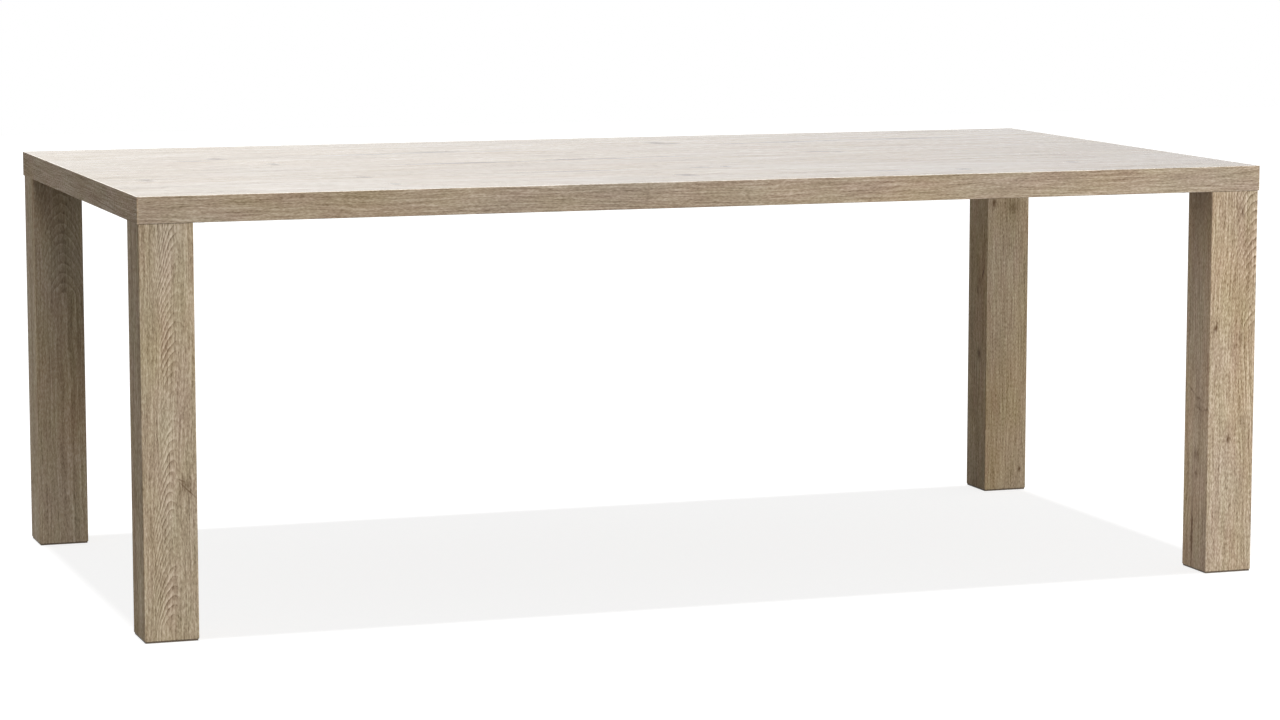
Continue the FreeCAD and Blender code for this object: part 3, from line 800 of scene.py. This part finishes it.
def oak_grain():
    """Makes the oak figure once: arched rings, strokes along them, pores, knots and slow tones."""
    tree = bpy.data.node_groups.get("oak_grain")
    if tree:
        return tree
    tree = bpy.data.node_groups.new("oak_grain", "ShaderNodeTree")
    for direction, sockets in (("INPUT", OAK_INPUTS), ("OUTPUT", OAK_OUTPUTS)):
        for kind, names in sockets.items():
            for name in names:
                tree.interface.new_socket(name, in_out=direction, socket_type=kind)
    given = add_node(tree, "NodeGroupInput").outputs
    across, along, depth = add_node(tree, "ShaderNodeSeparateXYZ", {0: given["Place"]}).outputs
    heart_across, heart_along, lean = add_node(tree, "ShaderNodeSeparateXYZ", {0: given["Heart"]}).outputs
    narrow, climb, eye = add_node(tree, "ShaderNodeSeparateXYZ", {0: given["Arch"]}).outputs

    # Lanes: each takes another stretch of the noise and a tone of its own
    lane = reckon(tree, "ADD", reckon(tree, "DIVIDE", across, given["Lane Width"]), given["Lane Shift"])
    lane = reckon(tree, "FLOOR", lane)
    draw = add_node(
        tree,
        "ShaderNodeTexWhiteNoise",
        {"W": reckon(tree, "ADD", lane, given["Seed"])},
        noise_dimensions="1D",
    ).outputs["Value"]
    layer = reckon(tree, "ADD", reckon(tree, "MULTIPLY_ADD", draw, LANE_STEP, given["Seed"]), depth)

    def field(name, detail=2.0, line=across, run=along):
        """Returns noise stretched along the grain, in a layer of its own."""
        across_scale, along_scale, shift = GRAIN_FIELDS[name]
        return cloud(
            tree,
            reckon(tree, "MULTIPLY", line, across_scale),
            reckon(tree, "MULTIPLY", run, along_scale),
            reckon(tree, "ADD", layer, shift),
            detail,
        )

    def carry(value, name):
        """Carries a value over by one of the ranges of the figure."""
        return spread(tree, value, *GRAIN_RANGES[name])

    # Grain line: the across place after a slow sway and a quicker waver
    line = reckon(tree, "MULTIPLY_ADD", field("sway"), SWAY_REACH, across)
    line = reckon(tree, "MULTIPLY_ADD", field("waver"), WAVER_REACH, line)
    run = reckon(tree, "MULTIPLY", along, given["Stretch"])

    first_halo, first_core = near_knot(tree, line, along, given["Knot"])
    second_halo, second_core = near_knot(tree, line, along, given["Second Knot"])
    halo = reckon(tree, "ADD", first_halo, second_halo)
    core = reckon(tree, "ADD", first_core, second_core)

    # Rings: arches that climb above the heart, or close round it as an eye
    reach = reckon(tree, "SUBTRACT", along, heart_along)
    side = reckon(tree, "SUBTRACT", line, reckon(tree, "MULTIPLY_ADD", lean, reach, heart_across))
    rings = reckon(tree, "MULTIPLY", reckon(tree, "MULTIPLY", side, side), narrow)
    rings = reckon(tree, "MULTIPLY_ADD", reckon(tree, "MAXIMUM", reach, 0.0), climb, rings)
    rings = reckon(tree, "MULTIPLY_ADD", reckon(tree, "MULTIPLY", reach, reach), eye, rings)
    rings = reckon(tree, "MULTIPLY_ADD", halo, KNOT_RINGS, rings)
    rings = reckon(tree, "MULTIPLY_ADD", field("ring_wobble"), WOBBLE_RINGS, rings)
    phase = reckon(tree, "FRACT", rings)
    ring = reckon(tree, "MULTIPLY", carry(phase, "ring_rise"), carry(phase, "ring_fall"))

    # The rings come and go, and show most at their axis or on one flank of it
    fading = carry(field("ring_fade"), "ring_fade")
    off_axis = reckon(tree, "DIVIDE", reckon(tree, "SUBTRACT", side, given["Flank"]), given["Flame"])
    off_axis = reckon(tree, "MULTIPLY", reckon(tree, "MULTIPLY", off_axis, off_axis), -1.0)
    fading = reckon(tree, "MULTIPLY", fading, reckon(tree, "EXPONENT", off_axis))
    ring = reckon(tree, "MULTIPLY", reckon(tree, "SUBTRACT", ring, RING_LEVEL), fading)
    early = carry(phase, "early_wood")

    # Strokes, fibres and flecks: along the rings and along the grain line
    stroke = carry(field("stroke", 3.0, rings, run), "stroke")
    fine = reckon(tree, "MULTIPLY", line, given["Fineness"])
    fibre = field("fibre", 1.0, fine, run)
    fleck = field("fleck", 1.0, fine, run)

    # Lines: fine and even, swaying a little, that come and go
    sway = reckon(tree, "MULTIPLY", field("line_sway", 1.0, fine, run), LINE_SWAY)
    lines = reckon(tree, "SINE", reckon(tree, "MULTIPLY_ADD", fine, LINE_TURNS, sway))
    lines = reckon(tree, "MULTIPLY", lines, carry(field("line_fade", 1.0, fine, run), "line_fade"))
    fibre = reckon(tree, "MULTIPLY_ADD", lines, LINE_WEIGHT, fibre)
    hair = field("hair", 1.0, fine, run)
    pores = reckon(tree, "MULTIPLY", carry(hair, "pores"), early)

    # Tone: all parts of the figure by their strengths
    parts = {
        "Ring": ring,
        "Stroke": stroke,
        "Fibre": fibre,
        "Fleck": fleck,
        "Mottle": field("mottle"),
        "Lane Tone": reckon(tree, "SUBTRACT", draw, 0.5),
    }
    tone = MIDDLE_TONE
    for name, part in parts.items():
        tone = reckon(tree, "MULTIPLY_ADD", part, given[name], tone)
    tone = reckon(tree, "SUBTRACT", tone, reckon(tree, "MULTIPLY", pores, given["Pores"]))
    tone = reckon(tree, "MULTIPLY_ADD", halo, HALO_TONE, tone)
    tone = reckon(tree, "MULTIPLY_ADD", core, CORE_TONE, tone)

    lower = blend_colours(tree, carry(tone, "dark_tones"), given["Dark"], given["Middle"])
    colour = blend_colours(tree, carry(tone, "light_tones"), lower, given["Light"])
    warmth = carry(field("warmth"), "warmth")
    redness = carry(field("redness"), "redness")
    tinted = add_node(
        tree,
        "ShaderNodeHueSaturation",
        {"Hue": redness, "Saturation": warmth, "Color": colour},
    )
    pits = reckon(tree, "MULTIPLY", pores, PORE_HEIGHT)
    height = reckon(tree, "MULTIPLY_ADD", fleck, FLECK_HEIGHT, pits)
    add_node(tree, "NodeGroupOutput", {"Colour": tinted.outputs[0], "Tone": tone, "Height": height})
    return tree


def marks_and_painted_shade(tree, place, colour, marks, stain_and_shade):
    """Lays knots, streaks and cracks, and patches of painted shade, over a colour, each a soft oval with
    a ragged outline.
    """
    across, along, depth = add_node(tree, "ShaderNodeSeparateXYZ", {0: place}).outputs
    fine = reckon(tree, "MULTIPLY", across, RAGGED_ACROSS)
    slow = reckon(tree, "MULTIPLY", along, RAGGED_ALONG)
    raggedness = cloud(tree, fine, slow, depth)
    for mark_across, mark_along, half_width, half_length, turn, strength in marks:
        right = reckon(tree, "SUBTRACT", across, mark_across)
        up = reckon(tree, "SUBTRACT", along, mark_along)
        side = reckon(tree, "MULTIPLY", right, math.cos(turn) / half_width)
        side = reckon(tree, "MULTIPLY_ADD", up, -math.sin(turn) / half_width, side)
        side = reckon(tree, "MULTIPLY_ADD", raggedness, RAGGED_REACH, side)
        ahead = reckon(tree, "MULTIPLY", right, math.sin(turn) / half_length)
        ahead = reckon(tree, "MULTIPLY_ADD", up, math.cos(turn) / half_length, ahead)
        far = reckon(tree, "MULTIPLY_ADD", side, side, reckon(tree, "MULTIPLY", ahead, ahead))
        nearness = reckon(tree, "EXPONENT", reckon(tree, "MULTIPLY", far, -1.0))
        colour = blend_colours(tree, reckon(tree, "MULTIPLY", nearness, strength), colour, (*stain_and_shade, 1.0))
    return colour


def oak_material(name, rows, middle, gloss, figure, strengths, tint, marks=()):
    """Makes the oak finish of one piece: its own stretch of the figure, laid along its grain."""
    finish = bpy.context.scene.table_oak
    material, tree, shader = start_material(name)
    group = tree.nodes.new("ShaderNodeGroup")
    group.node_tree = oak_grain()
    place = object_place(tree, rows, middle)
    tree.links.new(place, group.inputs["Place"])
    colours = {"Dark": finish.dark, "Middle": finish.middle, "Light": finish.light}
    for key, value in {**figure, **strengths}.items():
        group.inputs[key].default_value = value
    for key, value in colours.items():
        group.inputs[key].default_value = (*(part * share for part, share in zip(value, tint)), 1.0)
    colour = marks_and_painted_shade(tree, place, group.outputs["Colour"], marks, finish.stain_and_shade)
    tree.links.new(colour, shader.inputs["Base Color"])
    roughness, specular, relief = gloss
    rough, smooth = roughness + GLOSS_SWING, roughness - GLOSS_SWING
    tree.links.new(
        spread(tree, group.outputs["Tone"], *GLOSS_TONES, rough, smooth),
        shader.inputs["Roughness"],
    )
    shader.inputs["Specular IOR Level"].default_value = specular
    roughen(tree, shader, group.outputs["Height"], relief, OAK_DEPTH)
    return material


def plain_material(name, scale, dark, light, roughness, relief, metallic=0.0, stretch=(1, 1, 1)):
    """Makes a finish with a fine grain of two tones, for the parts that carry no oak."""
    material, tree, shader = start_material(name)
    coordinates = add_node(tree, "ShaderNodeTexCoord")
    mapping = add_node(
        tree,
        "ShaderNodeMapping",
        {"Vector": coordinates.outputs["Object"], "Scale": stretch},
    )
    grain = add_node(
        tree,
        "ShaderNodeTexNoise",
        {"Vector": mapping.outputs[0], "Scale": scale, "Detail": 4.0, "Roughness": 0.6},
    )
    cells = add_node(
        tree,
        "ShaderNodeTexVoronoi",
        {"Vector": mapping.outputs[0], "Scale": scale * CELL_SCALE},
    )
    share = reckon(tree, "MULTIPLY_ADD", cells.outputs["Distance"], CELL_WEIGHT, grain.outputs[0])
    share = spread(tree, share, *TWO_TONES)
    colour = blend_colours(tree, share, (*dark, 1.0), (*light, 1.0))
    tree.links.new(colour, shader.inputs["Base Color"])
    tree.links.new(
        spread(tree, grain.outputs[0], *ROUGH_TONES, roughness - ROUGH_SWING, roughness + ROUGH_SWING),
        shader.inputs["Roughness"],
    )
    shader.inputs["Metallic"].default_value = metallic
    roughen(tree, shader, share, PLAIN_RELIEF, relief)
    return material


class TABLE_OT_top_board(bpy.types.Operator):
    """Models the top board and gives it its oak face"""

    bl_idname = "table.top_board"
    bl_label = "Make top board"

    def execute(self, context):
        sizes = context.scene.table_sizes
        low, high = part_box("top_board")
        board = start_block("oak_top_board", low, high)
        ease_edges(lambda a, b: True, sizes.board_ease, 1)
        smooth_rounds(board, sizes.smooth_angle)
        material = oak_material(
            "oak_top",
            LIE_TOP,
            (0, 0, high[2]),
            SATIN_TOP,
            TOP_FIGURE,
            {**TOP_STRENGTHS, "Lane Width": context.scene.table_oak.board_width},
            # Lighter and cooler than the plain oak: painted light and sheen on the top
            TOP_PAINTED_LIGHT,
            TOP_MARKS,
        )
        fit_piece(board, "top_board", material)
        return {"FINISHED"}


class TABLE_OT_edge_bands(bpy.types.Operator):
    """Models the four edge bands round the slab"""

    bl_idname = "table.edge_bands"
    bl_label = "Make edge bands"

    def execute(self, context):
        sizes = context.scene.table_sizes
        for side in SIDES:
            node = f"{side}_edge_band"
            low, high = (Vector(corner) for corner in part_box(node))
            middle = (low + high) / 2
            at_end = side in ("left", "right")
            outward = Vector((middle.x, 0, 0) if at_end else (0, middle.y, 0)).normalized()
            reach = max(low.dot(outward), high.dot(outward))
            band = start_block(f"oak_{node}", low, high)

            def on_face(a, b):
                return min(a.dot(outward), b.dot(outward)) > reach - NEAR

            def along_face(a, b):
                return on_face(a, b) and abs(a.z - b.z) < NEAR

            ease_edges(on_face if at_end else along_face, sizes.band_round, sizes.round_steps)
            smooth_rounds(band, sizes.smooth_angle)
            rows = LIE_END if at_end else LIE_FRONT
            material = oak_material(
                f"oak_{side}_band",
                rows,
                middle,
                MATT_OAK,
                BAND_FIGURES[side],
                {**BAND_STRENGTHS, **(LEFT_BAND_CHANGES if side == "left" else {})},
                Vector(BAND_TINT) * BAND_SHADES[side],
            )
            fit_piece(band, node, material)
            self.painted_highlight_strip(band, side, rows, middle)
        return {"FINISHED"}

    def painted_highlight_strip(self, band, side, rows, middle):
        """Gives the upper face of a band the smooth finish of the top, and an oak painted far paler, a
        painted highlight along the edge of the top.
        """
        name = f"oak_{side}_band_top"
        figure = BAND_FIGURES[side]
        pale = oak_material(name, rows, middle, SATIN_TOP, figure, BAND_STRENGTHS, EDGE_PAINTED_HIGHLIGHT)
        band.data.materials.append(pale)
        # Faces that look up take the painted highlight
        for face in band.data.polygons:
            if face.normal.z > UPWARD:
                face.material_index = 1


class TABLE_OT_leg_panels(bpy.types.Operator):
    """Models one mitred leg panel and sets sixteen of them round the four legs"""

    bl_idname = "table.leg_panels"
    bl_label = "Make leg panels"

    def execute(self, context):
        sizes = context.scene.table_sizes
        low, high = (Vector(corner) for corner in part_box("front_left_leg_front_panel"))
        half = (high.x - low.x) / 2
        panel = start_block("leg_panel", (-half, -half, low.z), (half, half, high.z))
        ease_edges(lambda a, b: abs(a.z - b.z) > half, sizes.leg_round, sizes.round_steps)
        ease_edges(
            lambda a, b: abs(a.z - b.z) < NEAR and max(abs(a.x) + abs(a.y), abs(b.x) + abs(b.y)) > half,
            sizes.leg_end_bevel,
            END_FLATS,
        )
        saw_off((0, 0, 0), (1, 1, 0))
        saw_off((0, 0, 0), (-1, 1, 0))
        saw_off((0, sizes.panel_thickness - half, 0), (0, 1, 0))
        smooth_rounds(panel, sizes.smooth_angle)
        for corner in CORNERS:
            low, high = (Vector(place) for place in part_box(f"{corner}_leg_front_panel"))
            axis = Vector(((low.x + high.x) / 2, low.y + half, 0))
            for turn, side in enumerate(SIDES):
                self.set_panel(panel, corner, side, turn, axis)
        bpy.data.objects.remove(panel)
        return {"FINISHED"}

    def set_panel(self, panel, corner, side, turn, axis):
        """Sets a copy of the panel on one side of a leg, with a figure of its own."""
        node = f"{corner}_leg_{side}_panel"
        copy = bpy.data.objects.new(f"oak_{node}", panel.data.copy())
        copy.data.name = copy.name
        bpy.context.collection.objects.link(copy)
        copy.data.transform(Matrix.Translation(axis) @ Matrix.Rotation(turn * math.pi / 2, 4, "Z"))
        copy.data.update()
        number = CORNERS.index(corner) * len(SIDES) + turn
        rows = STAND_FRONT if side in ("front", "rear") else STAND_SIDE
        unseen = (1.0, unseen_figure(number), (), {})
        shade, figure, marks, changes = LEG_FACES.get(node, unseen)
        material = oak_material(
            f"oak_{node}",
            rows,
            axis,
            MATT_OAK,
            figure,
            {**LEG_STRENGTHS, **changes},
            Vector(LEG_TINT) * shade,
            marks,
        )
        fit_piece(copy, node, material)


class TABLE_OT_underside(bpy.types.Operator):
    """Finishes the underside: backing sheet, mounting plates and their bolts"""

    bl_idname = "table.underside"
    bl_label = "Finish underside"

    def execute(self, context):
        backing = oak_material(
            "oak_backing", LIE_TOP, (0, 0, 0), MATT_OAK, BACK_FIGURE, BACK_STRENGTHS, BAND_TINT
        )
        dress_node("bottom_board", backing)
        coat = plain_material(*POWDER_COAT)
        for corner in CORNERS:
            dress_node(f"{corner}_mounting_plate", coat)
        zinc = plain_material(*BRIGHT_ZINC, metallic=1.0)
        for node in ("plate_bolts", "threaded_inserts", "plate_screws", "foot_pad_screws"):
            dress_node(node, zinc)
        return {"FINISHED"}


class TABLE_OT_feet(bpy.types.Operator):
    """Finishes the foot pads"""

    bl_idname = "table.feet"
    bl_label = "Finish feet"

    def execute(self, context):
        pad = plain_material(*PAD_PLASTIC)
        for corner in CORNERS:
            dress_node(f"{corner}_foot_pad", pad)
        return {"FINISHED"}


class TABLE_OT_core(bpy.types.Operator):
    """Finishes what is inside the slab and the legs"""

    bl_idname = "table.core"
    bl_label = "Finish core"

    def execute(self, context):
        chip = plain_material(*CHIPBOARD)
        kraft = plain_material(*KRAFT_PAPER, stretch=(1, 1, 4))
        beech = plain_material(*BEECH, stretch=(4, 4, 1))
        battens = [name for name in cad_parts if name.startswith("cross_batten")]
        blocks = [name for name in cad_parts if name.endswith("_block")]
        for node in (*CORE_RAILS, *battens, *blocks):
            dress_node(node, chip)
        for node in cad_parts:
            if node.startswith("honeycomb"):
                dress_node(node, kraft)
        dress_node("frame_dowels", beech)
        return {"FINISHED"}


class TABLE_OT_stage(bpy.types.Operator):
    """Sets the floor, the lamps, the studio light and the camera"""

    bl_idname = "table.stage"
    bl_label = "Set stage"

    def execute(self, context):
        settings = context.scene.table_stage
        floor = self.lay_floor(settings)
        self.hang_lamps(settings, floor)
        self.light_studio(context.scene, settings)
        self.stand_camera(context.scene, settings)
        context.scene.view_settings.view_transform = "Standard"
        return {"FINISHED"}

    def lay_floor(self, settings):
        """Lays a pale floor just under the feet, white to the camera, with the shadow of the table on it.

        It is clear from below, so that the underside of the table can be looked at."""
        deselect_all()
        bpy.ops.mesh.primitive_plane_add(size=FLOOR_SIDE, location=(0, 0, -FLOOR_GAP))
        floor = bpy.context.active_object
        floor.name = "floor"
        material = bpy.data.materials.new("pale_floor")
        material.use_nodes = True
        tree = material.node_tree
        tree.nodes.clear()
        matt = add_node(tree, "ShaderNodeBsdfDiffuse", {"Color": (*settings.floor_colour, 1.0)})
        path = add_node(tree, "ShaderNodeLightPath").outputs
        seen = reckon(tree, "MAXIMUM", path["Is Camera Ray"], path["Is Glossy Ray"])
        seen = reckon(tree, "MAXIMUM", seen, path["Is Transmission Ray"])
        glow = add_node(
            tree,
            "ShaderNodeEmission",
            {"Color": (1, 1, 1, 1), "Strength": reckon(tree, "MULTIPLY", seen, settings.floor_glow)},
        )
        both = add_node(tree, "ShaderNodeAddShader", {0: matt.outputs[0], 1: glow.outputs[0]})
        below = add_node(tree, "ShaderNodeNewGeometry").outputs["Backfacing"]
        clear = add_node(tree, "ShaderNodeBsdfTransparent")
        sided = add_node(tree, "ShaderNodeMixShader", {0: below, 1: both.outputs[0], 2: clear.outputs[0]})
        add_node(tree, "ShaderNodeOutputMaterial", {"Surface": sided.outputs[0]})
        floor.data.materials.append(material)
        return floor

    def hang_lamps(self, settings, floor):
        """Hangs far lamps round the table, and small near ones that lift the shaded faces of its legs.

        Only the lamp above reaches the floor, so that the table has one plain shadow there."""
        shaded = bpy.data.collections.new("shaded_from_side_lamps")
        shaded.objects.link(floor)
        shaded.collection_objects[0].light_linking.link_state = "EXCLUDE"
        for name, (place, breadth) in SUNS.items():
            lamp = bpy.data.lights.new(f"{name}_lamp", "SUN")
            lamp.energy = getattr(settings, f"{name}_strength")
            lamp.angle = math.radians(breadth)
            sun = self.hang(lamp, place, (0, 0, 0))
            if name != "overhead":
                sun.light_linking.receiver_collection = shaded
        for name, (place, target, side) in PANELS.items():
            lamp = bpy.data.lights.new(f"{name}_lamp", "AREA")
            lamp.energy = getattr(settings, f"{name}_power")
            lamp.size = side
            panel = self.hang(lamp, place, target)
            panel.light_linking.receiver_collection = shaded

    def hang(self, lamp, place, target):
        """Hangs a lamp at a place, pointed at a target.

        It is neither seen nor mirrored, so that no glare hides the figure."""
        holder = bpy.data.objects.new(lamp.name, lamp)
        holder.visible_camera = False
        holder.visible_glossy = False
        holder.location = place
        holder.rotation_euler = (Vector(target) - holder.location).to_track_quat("-Z", "Y").to_euler()
        bpy.context.collection.objects.link(holder)
        return holder

    def light_studio(self, scene, settings):
        """Lights the studio evenly, white where it is seen, dimmer at both sides where it is mirrored."""
        world = bpy.data.worlds.new("studio")
        world.use_nodes = True
        scene.world = world
        tree = world.node_tree
        tree.nodes.clear()
        path = add_node(tree, "ShaderNodeLightPath").outputs
        coordinates = add_node(tree, "ShaderNodeTexCoord").outputs
        rightward = add_node(tree, "ShaderNodeSeparateXYZ", {0: coordinates["Generated"]}).outputs[0]
        mirrored = spread(tree, rightward, *LEFT_FADE, settings.left_dimming, 1.0)
        right = reckon(tree, "MULTIPLY", spread(tree, rightward, *RIGHT_FADE), path["Is Glossy Ray"])
        colour = blend_colours(tree, right, (1, 1, 1, 1), (*settings.right_colour, 1.0))
        seen = reckon(tree, "MAXIMUM", path["Is Camera Ray"], path["Is Transmission Ray"])
        strength = spread(tree, seen, 0.0, 1.0, settings.ambient, 1.0)
        strength = reckon(
            tree,
            "MULTIPLY_ADD",
            path["Is Glossy Ray"],
            reckon(tree, "SUBTRACT", mirrored, settings.ambient),
            strength,
        )
        sky = add_node(tree, "ShaderNodeBackground", {"Color": colour, "Strength": strength})
        add_node(tree, "ShaderNodeOutputWorld", {"Surface": sky.outputs[0]})

    def stand_camera(self, scene, settings):
        """Stands the camera at the front left, a little above the table."""
        camera = bpy.data.cameras.new("camera")
        camera.sensor_width = SENSOR_WIDTH
        camera.lens = settings.lens
        holder = bpy.data.objects.new("camera", camera)
        holder.location = settings.camera_place
        holder.rotation_euler = settings.camera_turn
        bpy.context.collection.objects.link(holder)
        scene.camera = holder


class TABLE_PT_parsons(bpy.types.Panel):
    """Lists the table's operators and settings"""

    bl_idname = "TABLE_PT_parsons"
    bl_label = "Parsons Dining Table"
    bl_space_type = "VIEW_3D"
    bl_region_type = "UI"
    bl_category = "Table"

    def draw(self, context):
        for settings in (context.scene.table_sizes, context.scene.table_oak, context.scene.table_stage):
            box = self.layout.box()
            for name in settings.__annotations__:
                box.prop(settings, name)
        for operator in OPERATORS:
            self.layout.operator(operator.bl_idname)


SETTINGS = (TableSizes, OakFinish, StageSettings)
OPERATORS = (
    TABLE_OT_top_board,
    TABLE_OT_edge_bands,
    TABLE_OT_leg_panels,
    TABLE_OT_underside,
    TABLE_OT_feet,
    TABLE_OT_core,
    TABLE_OT_stage,
)
CLASSES = (*SETTINGS, *OPERATORS, TABLE_PT_parsons)


def register():
    """Registers the classes and hangs the settings on the scene."""
    for item in CLASSES:
        bpy.utils.register_class(item)
    bpy.types.Scene.table_sizes = PointerProperty(type=TableSizes)
    bpy.types.Scene.table_oak = PointerProperty(type=OakFinish)
    bpy.types.Scene.table_stage = PointerProperty(type=StageSettings)


def unregister():
    """Takes the settings off the scene and unregisters the classes."""
    del bpy.types.Scene.table_stage
    del bpy.types.Scene.table_oak
    del bpy.types.Scene.table_sizes
    for item in reversed(CLASSES):
        bpy.utils.unregister_class(item)


def main():
    """Makes the table and its stage."""
    register()
    bpy.ops.table.top_board()
    bpy.ops.table.edge_bands()
    bpy.ops.table.leg_panels()
    bpy.ops.table.underside()
    bpy.ops.table.feet()
    bpy.ops.table.core()
    bpy.ops.table.stage()


if __name__ == "__main__":
    main()
